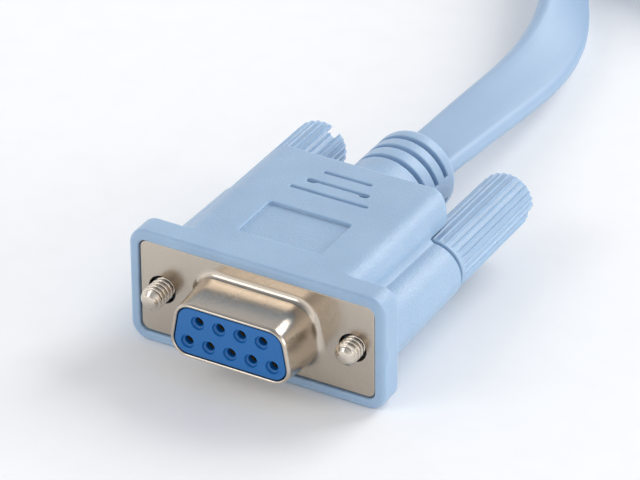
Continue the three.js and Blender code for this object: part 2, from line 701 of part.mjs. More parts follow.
// The origin is under the middle of the connector, on the surface that it lies on
const cable = new THREE.Group();
cable.name = 'console_cable';
cable.add(connector, cord);
cable.position.set(0, -(shroudFront + connectorBack) / 2, -floorZ);

export default cable;
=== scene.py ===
"""Looks of a console cable: a moulded nine-way socket with two thumbscrews, and a flat cable
that is folded into a hank and ends in a clear modular plug."""

import math

import bmesh
import bpy
import numpy as np
from mathutils import Matrix, Vector


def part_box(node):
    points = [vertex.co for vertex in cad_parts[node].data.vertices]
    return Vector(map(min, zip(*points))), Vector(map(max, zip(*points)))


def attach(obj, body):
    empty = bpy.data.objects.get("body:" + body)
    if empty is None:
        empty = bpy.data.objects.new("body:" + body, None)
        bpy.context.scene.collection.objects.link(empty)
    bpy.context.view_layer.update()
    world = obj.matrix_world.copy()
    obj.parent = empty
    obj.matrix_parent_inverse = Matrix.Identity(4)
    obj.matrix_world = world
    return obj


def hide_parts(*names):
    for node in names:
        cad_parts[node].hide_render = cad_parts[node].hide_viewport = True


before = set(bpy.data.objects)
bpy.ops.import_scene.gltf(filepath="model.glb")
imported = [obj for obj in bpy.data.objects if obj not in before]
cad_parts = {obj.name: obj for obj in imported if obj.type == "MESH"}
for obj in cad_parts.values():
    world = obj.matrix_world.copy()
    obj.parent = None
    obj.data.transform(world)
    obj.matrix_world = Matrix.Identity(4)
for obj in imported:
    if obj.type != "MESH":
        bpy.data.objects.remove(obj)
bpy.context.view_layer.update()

# Sizes in millimetres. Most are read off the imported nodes. The others repeat the part's source.
MM = 0.001


def low(node):
    return np.array(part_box(node)[0]) / MM


def high(node):
    return np.array(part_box(node)[1]) / MM


def middle(node):
    return (low(node) + high(node)) / 2


def front(node):
    """Where a node starts along Y, from the plate's front."""
    return low(node)[1] - PLATE_FRONT


def back(node):
    """Where a node ends along Y, from the plate's front."""
    return high(node)[1] - PLATE_FRONT


FLANGE_RIM = 0.3
FLANGE_THICKNESS = 3.3
FLANGE_CORNER = 2.2
FLANGE_EDGE = 0.55
BODY_WIDTH = 24.2
BODY_FILLET = 2.7
BODY_LENGTH = 21.3
BODY_REAR_CORNER = 2.6
BODY_REAR_EDGE = 0.4
BARREL_FRONT_RADIUS = 4.05
BARREL_REAR_RADIUS = 3.72
BARREL_LENGTH = 15.9
BARREL_EDGE = 0.3
VALLEY = 0.8  # fillet between the body's side and a barrel
ROOT_FILLET = 0.45  # behind the flange
KNOB_CLEARANCE = 0.35
RELIEF_RADIUS = 5.35
RELIEF_EDGE = 1.3
RELIEF_ROOT = 0.3
GROOVES = [6.3, 8.85, 11.1]
GROOVE_WIDTH = 0.75
GROOVE_DEPTH = 1.1
GROOVE_SPREAD = 148
GROOVE_EDGE = 0.15
LABEL = (10.8, 7.3)
LABEL_DEPTH = 0.42
LABEL_SETBACK = 2.2
LABEL_CORNER = 0.4
MARK_DEPTH = 0.3
MARK_EDGE = 0.13
SLOT_WIDTH = 0.5
SLOT_SETBACK = 13.55
SLOT_PITCH = 2.24
SLOT_LENGTHS = [10.28, 8.16, 6.4]
PIT_LENGTH = 1.3
PIT_WIDTH = 0.78
PIT_DEPTH = 1.8
RECESS_DEPTH = 1.45
RECESS_GAP = 0.12
RECESS_EDGE = 0.15
POCKET_RADIUS = 4.31
POCKET_DEPTH = 9.2
SCREW_HOLE = 1.8

# The plate's front is 0 along Y and the connector's axis is 0 along Z in all that follows
PLATE_FRONT = low("hood")[1] + FLANGE_RIM
AXIS_HEIGHT = middle("hood")[2]
HOME = Matrix.Scale(MM, 4) @ Matrix.Translation((0, PLATE_FRONT, AXIS_HEIGHT))
HOOD_HEIGHT = high("hood")[2] - low("hood")[2]
FLANGE_WIDTH = high("hood")[0] - low("hood")[0]
flange_back = FLANGE_THICKNESS - FLANGE_RIM
body_back = flange_back + BODY_LENGTH
barrel_back = flange_back + BARREL_LENGTH
relief_back = back("hood")
screw_x = middle("right_screw")[0]

PLATE_WIDTH = high("rear_shell")[0] - low("rear_shell")[0]
PLATE_HEIGHT = high("rear_shell")[2] - low("rear_shell")[2]
PLATE_CORNER = 1
SHELL_WALL = 0.45
SHROUD_WIDTH = 16.33
SHROUD_HEIGHT = 7.9
SHROUD_RADIUS = 2.59
SHROUD_SLOPE = 10
SHROUD_FILLET = 0.85
SHROUD_DRAFT = 0.35  # how much the shroud closes in all round towards its rim
shroud_front = front("front_shell")
face_y = front("insulator")


# Shapes

def outline(corners, radius, steps=8):
    """Round-cornered outline: arcs of one radius about its corner centres."""
    points = []
    for x, z, start, end in corners:
        for angle in np.radians(np.linspace(start, end, steps + 1)):
            points.append((x + radius * math.cos(angle), z + radius * math.sin(angle)))
    return points


def rectangle_corners(width, height, radius):
    x = width / 2 - radius
    z = height / 2 - radius
    return [(x, -z, -90, 0), (x, z, 0, 90), (-x, z, 90, 180), (-x, -z, 180, 270)]


def d_corners():
    """Corner centres of the nine-way outline, wide side down."""
    z = SHROUD_HEIGHT / 2 - SHROUD_RADIUS
    wide = SHROUD_WIDTH / 2 - SHROUD_RADIUS
    narrow = wide - 2 * z * math.tan(math.radians(SHROUD_SLOPE))
    slope = SHROUD_SLOPE
    return [(wide, -z, -90, slope), (narrow, z, slope, 90),
            (-narrow, z, 90, 180 - slope), (-wide, -z, 180 - slope, 270)]


def mesh_of(name, points, faces):
    mesh = bpy.data.meshes.new(name)
    mesh.from_pydata([tuple(p) for p in points], [], [tuple(f) for f in faces])
    return mesh


def outward(mesh):
    """Merges doubles and turns every face of a closed skin outwards."""
    work = bmesh.new()
    work.from_mesh(mesh)
    bmesh.ops.remove_doubles(work, verts=work.verts, dist=1e-5)
    bmesh.ops.recalc_face_normals(work, faces=work.faces)
    work.to_mesh(mesh)
    work.free()
    return mesh


def skin(name, rings, endless=False):
    """Closed skin over equal rings of points. An endless one joins its last ring to its first."""
    count = len(rings[0])
    faces = []
    for ring in range(len(rings) if endless else len(rings) - 1):
        here = ring * count
        there = (ring + 1) % len(rings) * count
        for at in range(count):
            after = (at + 1) % count
            faces.append((here + at, here + after, there + after, there + at))
    if not endless:
        faces.append(range(count))
        faces.append(range(len(rings) * count - count, len(rings) * count))
    return outward(mesh_of(name, [p for ring in rings for p in ring], faces))


def stacked(name, levels, endless=False):
    """Skin over outlines along Y. A level is (corners, radius, y)."""
    rings = [[(x, y, z) for x, z in outline(corners, radius)] for corners, radius, y in levels]
    return skin(name, rings, endless)


def turned(name, profile, steps):
    """Closed solid turned about the Y axis from (radius, y) pairs, on the axis at both ends."""
    points = [(0, profile[0][1], 0), (0, profile[-1][1], 0)]
    inner = profile[1:-1]
    for radius, y in inner:
        for angle in np.linspace(0, 2 * math.pi, steps, endpoint=False):
            points.append((radius * math.cos(angle), y, radius * math.sin(angle)))
    faces = []
    for at in range(steps):
        after = (at + 1) % steps
        faces.append((0, 2 + at, 2 + after))
        last = 2 + (len(inner) - 1) * steps
        faces.append((1, last + after, last + at))
        for ring in range(len(inner) - 1):
            here = 2 + ring * steps
            there = here + steps
            faces.append((here + at, there + at, there + after, here + after))
    return outward(mesh_of(name, points, faces))


def plain_mesh(holder):
    """What an object's modifiers make of it, as a mesh of its own."""
    graph = bpy.context.evaluated_depsgraph_get()
    made = bpy.data.meshes.new_from_object(
        holder.evaluated_get(graph), preserve_all_data_layers=True, depsgraph=graph)
    holder.modifiers.clear()
    bpy.data.objects.remove(holder)
    return made


def holder_of(data):
    holder = bpy.data.objects.new(data.name, data)
    bpy.context.collection.objects.link(holder)
    return holder


def grown(mesh, tree, **values):
    """Runs a geometry tree on a mesh, with the tree's inputs set by their identifiers."""
    holder = holder_of(mesh)
    modifier = holder.modifiers.new("tree", "NODES")
    modifier.node_group = tree
    for item in tree.interface.items_tree:
        if item.item_type == "SOCKET" and item.in_out == "INPUT" and item.name in values:
            modifier[item.identifier] = values[item.name]
    return plain_mesh(holder)


def carved(mesh, cutter):
    """A mesh less another."""
    holder = holder_of(mesh)
    tool = holder_of(cutter)
    modifier = holder.modifiers.new("cut", "BOOLEAN")
    modifier.object = tool
    modifier.solver = "EXACT"
    made = plain_mesh(holder)
    bpy.data.objects.remove(tool)
    return made


def piece(name, mesh, material, body, stands_for, crease=30, home=HOME):
    """Puts a finished mesh in its place, in metres, as a piece that rides on a body."""
    mesh.name = name
    mesh.transform(home)
    mesh.materials.clear()
    mesh.materials.append(material)
    mesh.shade_smooth()
    if crease:
        mesh.set_sharp_from_angle(angle=math.radians(crease))
    made = bpy.data.objects.new(name, mesh)
    bpy.context.collection.objects.link(made)
    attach(made, body)
    if stands_for:
        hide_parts(*stands_for)
    return made


# Nodes

def add(tree, kind, values=(), **settings):
    """Adds a node with its settings, and sets or links its inputs."""
    node = tree.nodes.new(kind)
    for name, setting in settings.items():
        setattr(node, name, setting)
    for name, value in dict(values).items():
        if isinstance(value, bpy.types.Node):
            value = value.outputs[0]
        if isinstance(value, bpy.types.NodeSocket):
            tree.links.new(value, node.inputs[name])
        else:
            node.inputs[name].default_value = value
    return node


def linear(code):
    """An sRGB hex colour as linear RGBA."""
    channels = [int(code[at:at + 2], 16) / 255 for at in (1, 3, 5)]
    return [c / 12.92 if c <= 0.04045 else ((c + 0.055) / 1.055) ** 2.4 for c in channels] + [1]


def finish_named(name, **values):
    """A material with its shader, whose sockets get the given constants."""
    made = bpy.data.materials.new(name)
    made.use_nodes = True
    shader = made.node_tree.nodes["Principled BSDF"]
    for socket, value in values.items():
        shader.inputs[socket.replace("_", " ")].default_value = value
    return made, made.node_tree, shader


def joined_up(tree, shader, colour, gloss=None, relief=None):
    """Links a finish's colour, gloss and relief nodes, those that it has, to its shader."""
    if colour:
        tree.links.new(colour.outputs["Result"], shader.inputs["Base Color"])
    if gloss:
        tree.links.new(gloss.outputs[0], shader.inputs["Roughness"])
    if relief:
        tree.links.new(relief.outputs[0], shader.inputs["Normal"])


def per_mm(size):
    """Scale of a noise pattern on coordinates in metres whose grain is that many millimetres."""
    return 1 / (size * MM)


def grained_vinyl(name, light, dark, grain, depth, roughness):
    """PVC from a spark-eroded mould: an even grain, and a colour that drifts a little."""
    made, tree, shader = finish_named(
        name, IOR=1.53, Subsurface_Weight=0.3, Subsurface_Radius=(0.35, 0.7, 1),
        Subsurface_Scale=0.8 * MM)
    place = add(tree, "ShaderNodeTexCoord").outputs["Object"]
    fine = add(tree, "ShaderNodeTexNoise", {"Vector": place, "Scale": per_mm(grain), "Detail": 2})
    drift = add(tree, "ShaderNodeTexNoise", {"Vector": place, "Scale": per_mm(6), "Detail": 2})
    tone = add(tree, "ShaderNodeMapRange", {"Value": drift, "From Min": 0.3, "From Max": 0.7})
    colour = add(tree, "ShaderNodeMix", {"Factor": tone, "A": linear(light), "B": linear(dark)},
                 data_type="RGBA")
    gloss = add(tree, "ShaderNodeMapRange", {
        "Value": fine, "From Min": 0.3, "From Max": 0.7,
        "To Min": roughness - 0.08, "To Max": roughness + 0.08})
    relief = add(tree, "ShaderNodeBump", {"Height": fine, "Strength": 1, "Distance": depth * MM})
    joined_up(tree, shader, colour, gloss, relief)
    return made


# Soft PVC from a spark-eroded mould. The grain is about 0.25 mm across, so highlights on round
# edges break into fine specks.
moulded_vinyl = grained_vinyl("spark-textured moulded PVC", "#9eb8d2", "#97b1cc", 0.25, 0.05, 0.4)


def extruded_vinyl():
    # Flat cable jacket from a polished die: smooth, with faint lines drawn out along it
    made, tree, shader = finish_named("extruded flat PVC jacket", IOR=1.53)
    along = add(tree, "ShaderNodeUVMap", uv_map="lay")
    # The map is in millimetres: x along the cable, y round it
    streak = add(tree, "ShaderNodeMapping", {"Vector": along, "Scale": (0.05, 3.5, 1)})
    lines = add(tree, "ShaderNodeTexNoise", {"Vector": streak, "Scale": 1, "Detail": 3})
    drift = add(tree, "ShaderNodeTexNoise", {"Vector": along, "Scale": 0.12, "Detail": 2})
    colour = add(tree, "ShaderNodeMix", {"Factor": drift, "A": linear("#9ab4cf"),
                                         "B": linear("#92acc8")}, data_type="RGBA")
    gloss = add(tree, "ShaderNodeMapRange", {"Value": lines, "To Min": 0.34, "To Max": 0.5})
    relief = add(tree, "ShaderNodeBump", {"Height": lines, "Strength": 0.6, "Distance": 0.02 * MM})
    joined_up(tree, shader, colour, gloss, relief)
    return made


def plated_metal(name, base, roughness, grain, depth):
    """A thin metal finish over the base metal: soft reflections and a faint mottle."""
    made, tree, shader = finish_named(name, Metallic=1)
    place = add(tree, "ShaderNodeTexCoord").outputs["Object"]
    fine = add(tree, "ShaderNodeTexNoise", {"Vector": place, "Scale": per_mm(grain), "Detail": 4})
    cloud = add(tree, "ShaderNodeTexNoise", {"Vector": place, "Scale": per_mm(3), "Detail": 3})
    gloss = add(tree, "ShaderNodeMapRange", {
        "Value": cloud, "From Min": 0.3, "From Max": 0.7,
        "To Min": roughness - 0.04, "To Max": roughness + 0.05})
    colour = add(tree, "ShaderNodeMix", {"Factor": fine, "A": linear(base[0]),
                                         "B": linear(base[1])}, data_type="RGBA")
    relief = add(tree, "ShaderNodeBump", {"Height": fine, "Strength": 1, "Distance": depth * MM})
    joined_up(tree, shader, colour, gloss, relief)
    return made


# Nickel-plated steel sheet, deep drawn: satin, warm grey
drawn_nickel = plated_metal("nickel-plated drawn steel", ("#cfc4b6", "#c3b8aa"), 0.24, 0.35, 0.002)
# Nickel-plated steel with a rolled thread: brighter and smoother than the sheet
rolled_nickel = plated_metal("nickel-plated rolled thread", ("#d9cfc2", "#cdc3b6"), 0.16, 0.3, 0.001)
# Gold flash over phosphor bronze, drawn smooth
gold_flash = plated_metal("gold-flashed bronze", ("#d9b25c", "#cfa54c"), 0.2, 0.3, 0.0005)
# Phosphor bronze, turned. Its dark brown is painted shade: it stands in for the shade deep in the
# insulator's holes, where the contacts sit
bronze_painted_hole_shade = plated_metal("turned phosphor bronze", ("#54452a", "#483a22"), 0.45, 0.3, 0.001)


def moulded_pbt():
    # Glass-filled PBT from a fine-textured mould: saturated blue, half matt
    made, tree, shader = finish_named("moulded blue PBT", IOR=1.54)
    place = add(tree, "ShaderNodeTexCoord").outputs["Object"]
    fine = add(tree, "ShaderNodeTexNoise", {"Vector": place, "Scale": per_mm(0.15), "Detail": 3})
    colour = add(tree, "ShaderNodeMix", {"Factor": fine, "A": linear("#0468ae"),
                                         "B": linear("#045da0")}, data_type="RGBA")
    gloss = add(tree, "ShaderNodeMapRange", {"Value": fine, "To Min": 0.34, "To Max": 0.5})
    relief = add(tree, "ShaderNodeBump", {"Height": fine, "Strength": 1, "Distance": 0.004 * MM})
    joined_up(tree, shader, colour, gloss, relief)
    return made


def clear_polycarbonate():
    # Injection-moulded polycarbonate: water clear, with faint flow marks from the gate
    made, tree, shader = finish_named(
        "clear moulded polycarbonate", IOR=1.585, Transmission_Weight=1, Roughness=0.04,
        Base_Color=linear("#f2f6f8"))
    place = add(tree, "ShaderNodeTexCoord").outputs["Object"]
    flow = add(tree, "ShaderNodeTexNoise", {"Vector": place, "Scale": per_mm(2.5), "Detail": 2})
    relief = add(tree, "ShaderNodeBump", {"Height": flow, "Strength": 0.5, "Distance": 0.02 * MM})
    joined_up(tree, shader, None, relief=relief)
    return made


def woven_strap():
    # Hook-and-loop strap: nylon weave under a fuzz of loops, drawn at 0.6 mm so that it shows
    made, tree, shader = finish_named(
        "woven nylon hook-and-loop strap", Sheen_Weight=0.6, Sheen_Roughness=0.4, Roughness=0.85)
    place = add(tree, "ShaderNodeTexCoord").outputs["Object"]
    loops = add(tree, "ShaderNodeTexVoronoi", {"Vector": place, "Scale": per_mm(0.6)})
    colour = add(tree, "ShaderNodeMix", {"Factor": loops, "A": linear("#31353c"),
                                         "B": linear("#14161a")}, data_type="RGBA")
    relief = add(tree, "ShaderNodeBump", {"Height": loops, "Strength": 1, "Distance": 0.15 * MM})
    joined_up(tree, shader, colour, relief=relief)
    return made


jacket_vinyl = extruded_vinyl()
blue_pbt = moulded_pbt()
clear_plastic = clear_polycarbonate()
strap_weave = woven_strap()


# Hood. It is drawn as a distance field, which gives its fillets and rounded edges, and skinned.

def joined(a, b, radius):
    """Field of two shapes together, with a fillet of that radius between them."""
    near = np.hypot(np.maximum(radius - a, 0), np.maximum(radius - b, 0))
    return np.maximum(radius, np.minimum(a, b)) - near


def shared(a, b, radius):
    """Field of what two shapes share, its edge rounded to that radius."""
    near = np.hypot(np.maximum(radius + a, 0), np.maximum(radius + b, 0))
    return np.minimum(-radius, np.maximum(a, b)) + near


def rectangle_field(u, v, width, height, radius):
    du = np.abs(u) - width / 2 + radius
    dv = np.abs(v) - height / 2 + radius
    outside = np.hypot(np.maximum(du, 0), np.maximum(dv, 0))
    return outside + np.minimum(np.maximum(du, dv), 0) - radius


def hood_field(x, y, z):
    """Distance to the hood's surface in millimetres, negative inside it."""
    side = np.abs(x)
    buried = FLANGE_EDGE - y
    flange = rectangle_field(x, z, FLANGE_WIDTH, HOOD_HEIGHT, FLANGE_CORNER)
    flange = shared(flange, -FLANGE_RIM - y, FLANGE_EDGE)
    flange = shared(flange, y - flange_back, FLANGE_EDGE / 2)

    # The plan is a little wider than the body, so that rounding its rear edge leaves the sides
    ease = 0.5
    section = rectangle_field(x, z, BODY_WIDTH, HOOD_HEIGHT, BODY_FILLET)
    plan = rectangle_field(x, y, BODY_WIDTH + 2 * ease, 2 * body_back, BODY_REAR_CORNER + ease)
    body = np.maximum(shared(section, plan, BODY_REAR_EDGE), buried)

    from_screw = np.hypot(side - screw_x, z)
    taper = (BARREL_FRONT_RADIUS - BARREL_REAR_RADIUS) / BARREL_LENGTH
    barrel = from_screw - BARREL_FRONT_RADIUS + taper * (y - flange_back)
    barrel = np.maximum(shared(barrel, y - barrel_back, BARREL_EDGE), buried)

    whole = joined(body, barrel, VALLEY)
    beside = np.minimum(from_screw - knob_radius - KNOB_CLEARANCE, BODY_WIDTH / 2 - side)
    knob_room = np.maximum(beside, barrel_back - y)
    whole = shared(whole, -knob_room, BARREL_EDGE)
    whole = joined(whole, flange, ROOT_FILLET)

    about = np.hypot(x, z)
    relief = shared(about - RELIEF_RADIUS, y - relief_back, RELIEF_EDGE)
    relief = np.maximum(relief, body_back - BODY_REAR_CORNER - y)
    from_pole = np.arctan2(side, np.abs(z)) - math.radians(GROOVE_SPREAD / 2)
    for behind in GROOVES:
        groove = np.maximum(np.abs(y - body_back - behind) - GROOVE_WIDTH / 2,
                            RELIEF_RADIUS - GROOVE_DEPTH - about)
        groove = np.maximum(groove, from_pole * about)
        relief = shared(relief, -groove, GROOVE_EDGE)
    whole = joined(whole, relief, RELIEF_ROOT)
    whole = np.maximum(whole, np.abs(z) - HOOD_HEIGHT / 2)

    def sunk(width, length, corner, at_x, at_y, depth):
        mark = rectangle_field(x - at_x, y - at_y, width, length, corner)
        return -np.maximum(mark, HOOD_HEIGHT / 2 - depth - z)

    label_y = flange_back + LABEL_SETBACK + LABEL[1] / 2
    whole = shared(whole, sunk(*LABEL, LABEL_CORNER, 0, label_y, LABEL_DEPTH), MARK_EDGE)
    for row, length in enumerate(SLOT_LENGTHS):
        slot_y = flange_back + SLOT_SETBACK + row * SLOT_PITCH
        slot = sunk(length, SLOT_WIDTH, SLOT_WIDTH / 2, 0, slot_y, MARK_DEPTH)
        whole = shared(whole, slot, MARK_EDGE)
        if row == 1:
            pit_x = (length - PIT_LENGTH) / 2
            pit_y = slot_y + (SLOT_WIDTH - PIT_WIDTH) / 2
            mark = rectangle_field(side - pit_x, y - pit_y, PIT_LENGTH, PIT_WIDTH, PIT_WIDTH / 2)
            pit = np.maximum(mark, HOOD_HEIGHT / 2 - PIT_DEPTH - z)
            whole = shared(whole, -pit, MARK_EDGE)

    gap = 2 * RECESS_GAP
    recess = rectangle_field(x, z, PLATE_WIDTH + gap, PLATE_HEIGHT + gap, PLATE_CORNER + RECESS_GAP)
    whole = shared(whole, -np.maximum(recess, y - RECESS_DEPTH), RECESS_EDGE)
    slope = math.radians(SHROUD_SLOPE)
    centre_x, centre_z = d_corners()[0][:2]
    leaning = (side - centre_x) * math.cos(slope) + (z - centre_z) * math.sin(slope) - POCKET_RADIUS
    pocket = np.maximum(leaning, np.abs(z) + centre_z - POCKET_RADIUS)
    whole = np.maximum(whole, -np.maximum(pocket, y - POCKET_DEPTH))
    return np.maximum(whole, SCREW_HOLE - from_screw)


def slope_of(field, points, reach):
    """Unit normals of a field, by differences over a short reach."""
    found = np.empty_like(points)
    for axis in range(3):
        step = np.zeros(3)
        step[axis] = reach
        found[:, axis] = field(*(points + step).T) - field(*(points - step).T)
    return found / np.maximum(np.linalg.norm(found, axis=1, keepdims=True), 1e-9)


def skin_of_field(name, field, lowest, highest, cell):
    """Closed quad skin of a field: a point in each crossed cell, drawn onto the surface."""
    axes = [np.arange(a - 1.5 * cell, b + 2.5 * cell, cell) for a, b in zip(lowest, highest)]
    x, y, z = axes
    inside = np.empty([len(axis) for axis in axes], bool)
    for at, level in enumerate(z):
        inside[:, :, at] = field(x[:, None], y[None, :], level) < 0
    count = sum(inside[i:len(x) - 1 + i, j:len(y) - 1 + j, k:len(z) - 1 + k].astype(np.uint8)
                for i in (0, 1) for j in (0, 1) for k in (0, 1))
    cells = np.argwhere((count > 0) & (count < 8))
    number = np.full(count.shape, -1)
    number[tuple(cells.T)] = np.arange(len(cells))
    points = np.array([axis[0] for axis in axes]) + (cells + 0.5) * cell
    for _ in range(4):
        way = slope_of(field, points, cell / 8)
        points -= way * np.clip(field(*points.T), -cell, cell)[:, None]
    quads = []
    for axis in range(3):
        order = (axis, (axis + 1) % 3, (axis + 2) % 3)
        filled = np.transpose(inside, order)
        label = np.transpose(number, order)
        here = filled[:-1, 1:-1, 1:-1]
        there = filled[1:, 1:-1, 1:-1]
        i, j, k = np.nonzero(here != there)
        quad = np.stack([label[i, j, k], label[i, j + 1, k],
                         label[i, j + 1, k + 1], label[i, j, k + 1]], axis=1)
        inwards = there[i, j, k]
        quad[inwards] = quad[inwards][:, ::-1]
        quads.append(quad)
    return mesh_of(name, points.tolist(), np.concatenate(quads).tolist())


def thinned(mesh, most):
    """The same skin with at most that many triangles. Flat areas lose theirs first."""
    holder = holder_of(mesh)
    modifier = holder.modifiers.new("thin", "DECIMATE")
    modifier.ratio = min(1, most / (2 * len(mesh.polygons)))
    return plain_mesh(holder)


knob_radius = high("right_knob")[0] - screw_x
HOOD_CELL = 0.13
HOOD_TRIANGLES = 170000
NORMAL_REACH = 0.06
origin = (0, PLATE_FRONT, AXIS_HEIGHT)
hood_skin = skin_of_field("moulded_hood", hood_field, low("hood") - origin, high("hood") - origin, HOOD_CELL)
hood_mesh = thinned(hood_skin, HOOD_TRIANGLES)
hood_normals = slope_of(hood_field, np.array([v.co for v in hood_mesh.vertices]), NORMAL_REACH)
piece("moulded_hood", hood_mesh, moulded_vinyl, "connector", ["hood"], crease=0)
hood_mesh.normals_split_custom_set_from_vertices(hood_normals.tolist())


# Front shell: one drawn sheet, from the plate's edge over the flare to the rolled rim and back

def front_shell():
    plate = rectangle_corners(PLATE_WIDTH, PLATE_HEIGHT, PLATE_CORNER)
    shroud = d_corners()
    bend = SHROUD_RADIUS + SHROUD_FILLET
    rim_radius = SHROUD_RADIUS - SHROUD_DRAFT
    rim = SHELL_WALL / 2
    roll = 0.55  # how far back the rim's outer edge starts to turn in
    edge = 0.12
    hold = 0.1  # rings beside each bend keep the flats flat
    levels = [(plate, PLATE_CORNER, SHELL_WALL), (plate, PLATE_CORNER, edge + hold)]
    for angle in np.linspace(0, math.pi / 2, 4):
        levels.append((plate, PLATE_CORNER - edge * (1 - math.cos(angle)), edge * (1 - math.sin(angle))))
    levels.append((plate, PLATE_CORNER - edge - hold, 0))
    levels.append((shroud, bend + hold, 0))
    for angle in np.linspace(0, math.pi / 2, 9):
        levels.append((shroud, bend - SHROUD_FILLET * math.sin(angle),
                       SHROUD_FILLET * (math.cos(angle) - 1)))
    levels.append((shroud, SHROUD_RADIUS, -SHROUD_FILLET - hold))
    levels.append((shroud, rim_radius, shroud_front + roll + hold))
    for angle in np.linspace(0, math.pi, 13):
        depth = roll if angle < math.pi / 2 else rim
        levels.append((shroud, rim_radius - rim + rim * math.cos(angle),
                       shroud_front + depth * (1 - math.sin(angle))))
    levels.append((shroud, rim_radius - SHELL_WALL, shroud_front + rim + hold))
    for angle in np.linspace(math.pi / 2, 0, 7):
        inner = SHROUD_FILLET + SHELL_WALL
        levels.append((shroud, bend - inner * math.sin(angle),
                       inner * math.cos(angle) - SHROUD_FILLET))
    levels.append((shroud, bend + hold, SHELL_WALL))
    blank = stacked("front_shell_blank", levels, endless=True)
    for side in (-1, 1):
        hole = turned("screw_hole", [(0, -1), (SCREW_HOLE, -1), (SCREW_HOLE, 1), (0, 1)], 48)
        hole.transform(Matrix.Translation((side * screw_x, 0, 0)))
        blank = carved(blank, hole)
    return blank


piece("drawn_front_shell", front_shell(), drawn_nickel, "connector",
      ["front_shell"])
rear_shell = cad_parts["rear_shell"]
rear_shell.data.materials.clear()
rear_shell.data.materials.append(drawn_nickel)


# Insulator and contacts: five below and four above, on points from one tree

LOWER_CONTACTS = 5
UPPER_CONTACTS = 4
contact_pitch = middle("contact_2")[0] - middle("contact_1")[0]
contact_row = middle("contact_6")[2] - middle("contact_1")[2]
contact_front = front("contact_1")
contact_back = back("contact_1")
contact_radius = (high("contact_1")[0] - low("contact_1")[0]) / 2
CONTACT_BORE = 0.51
CONTACT_BORE_DEPTH = 6
CUP_BORE = 0.55
CUP_DEPTH = 2.6
ENTRY_RADIUS = 0.575
ENTRY_FUNNEL = 0.87
ENTRY_FUNNEL_DEPTH = 0.4
CLOSE_GAP = 0.12
INSULATOR_STEP = 0.9
STEP_Y = 0.75  # where the insulator's shoulder meets the front shell


def new_tree(name, inputs):
    """A geometry tree with named inputs, each (name, socket kind)."""
    tree = bpy.data.node_groups.new(name, "GeometryNodeTree")
    for label, kind in inputs:
        tree.interface.new_socket(label, in_out="INPUT", socket_type="NodeSocket" + kind)
    tree.interface.new_socket("Geometry", in_out="OUTPUT", socket_type="NodeSocketGeometry")
    return tree, add(tree, "NodeGroupInput").outputs


def close_tree(tree, shape, material):
    solid = add(tree, "GeometryNodeRealizeInstances", {"Geometry": shape})
    dressed = add(tree, "GeometryNodeSetMaterial", {"Geometry": solid, "Material": material})
    add(tree, "NodeGroupOutput", {"Geometry": dressed})


def points_in_line(tree, count, pitch, centre):
    """Points a pitch apart along X, centred on a place."""
    spaces = add(tree, "ShaderNodeMath", {0: count, 1: 1}, operation="SUBTRACT")
    width = add(tree, "ShaderNodeMath", {0: spaces, 1: pitch}, operation="MULTIPLY")
    start_x = add(tree, "ShaderNodeMath", {0: width, 1: -0.5}, operation="MULTIPLY")
    offset = add(tree, "ShaderNodeCombineXYZ", {"X": start_x})
    start = add(tree, "ShaderNodeVectorMath", {0: centre, 1: offset}, operation="ADD")
    step = add(tree, "ShaderNodeCombineXYZ", {"X": pitch})
    return add(tree, "GeometryNodeMeshLine", {"Count": count, "Start Location": start, "Offset": step})


def two_rows_tree(name, material, cut):
    """Repeats a turned tool at the nine places, and leaves the copies or cuts them out."""
    tree, given = new_tree(name, [("Block", "Geometry"), ("Tool", "Object"), ("Pitch", "Float"),
                                  ("Row", "Float"), ("Lower", "Int"), ("Upper", "Int")])
    lines = add(tree, "GeometryNodeJoinGeometry")
    for count, row in (("Lower", -0.5), ("Upper", 0.5)):
        height = add(tree, "ShaderNodeMath", {0: given["Row"], 1: row}, operation="MULTIPLY")
        centre = add(tree, "ShaderNodeCombineXYZ", {"Z": height})
        line = points_in_line(tree, given[count], given["Pitch"], centre)
        tree.links.new(line.outputs[0], lines.inputs[0])
    tool = add(tree, "GeometryNodeObjectInfo", {"Object": given["Tool"]})
    copies = add(tree, "GeometryNodeInstanceOnPoints", {
        "Points": lines, "Instance": tool.outputs["Geometry"]})
    if not cut:
        close_tree(tree, copies, material)
        return tree
    solid = add(tree, "GeometryNodeRealizeInstances", {"Geometry": copies})
    bored = add(tree, "GeometryNodeMeshBoolean", {"Mesh 1": given["Block"], "Mesh 2": solid},
                operation="DIFFERENCE", solver="EXACT")
    close_tree(tree, bored, material)
    return tree


def in_two_rows(block, tool_mesh, material, cut):
    tool = holder_of(tool_mesh)
    tree = two_rows_tree(tool_mesh.name + "_rows", material, cut)
    made = grown(block, tree, Tool=tool, Pitch=contact_pitch, Row=contact_row,
                 Lower=LOWER_CONTACTS, Upper=UPPER_CONTACTS)
    bpy.data.objects.remove(tool)
    return made


def insulator():
    shroud = d_corners()
    inside = SHROUD_RADIUS - SHROUD_DRAFT - SHELL_WALL - CLOSE_GAP
    outside = SHROUD_RADIUS + INSULATOR_STEP
    block_back = back("insulator")
    edge = 0.1
    block = stacked("insulator_block", [
        (shroud, inside - edge, face_y), (shroud, inside - 0.3 * edge, face_y + 0.3 * edge),
        (shroud, inside, face_y + edge), (shroud, inside, STEP_Y), (shroud, outside, STEP_Y),
        (shroud, outside, block_back)])
    wide = contact_radius + CLOSE_GAP
    seat = contact_front - CLOSE_GAP
    bowl = [(ENTRY_RADIUS + (ENTRY_FUNNEL - ENTRY_RADIUS) * math.cos(angle),
             face_y + ENTRY_FUNNEL_DEPTH * math.sin(angle)) for angle in np.linspace(0, math.pi / 2, 6)]
    tool = turned("contact_way", [
        (0, face_y - 0.3), (ENTRY_FUNNEL, face_y - 0.3), *bowl, (ENTRY_RADIUS, seat), (wide, seat),
        (wide, block_back + 0.3), (0, block_back + 0.3)], 32)
    return in_two_rows(block, tool, blue_pbt, cut=True)


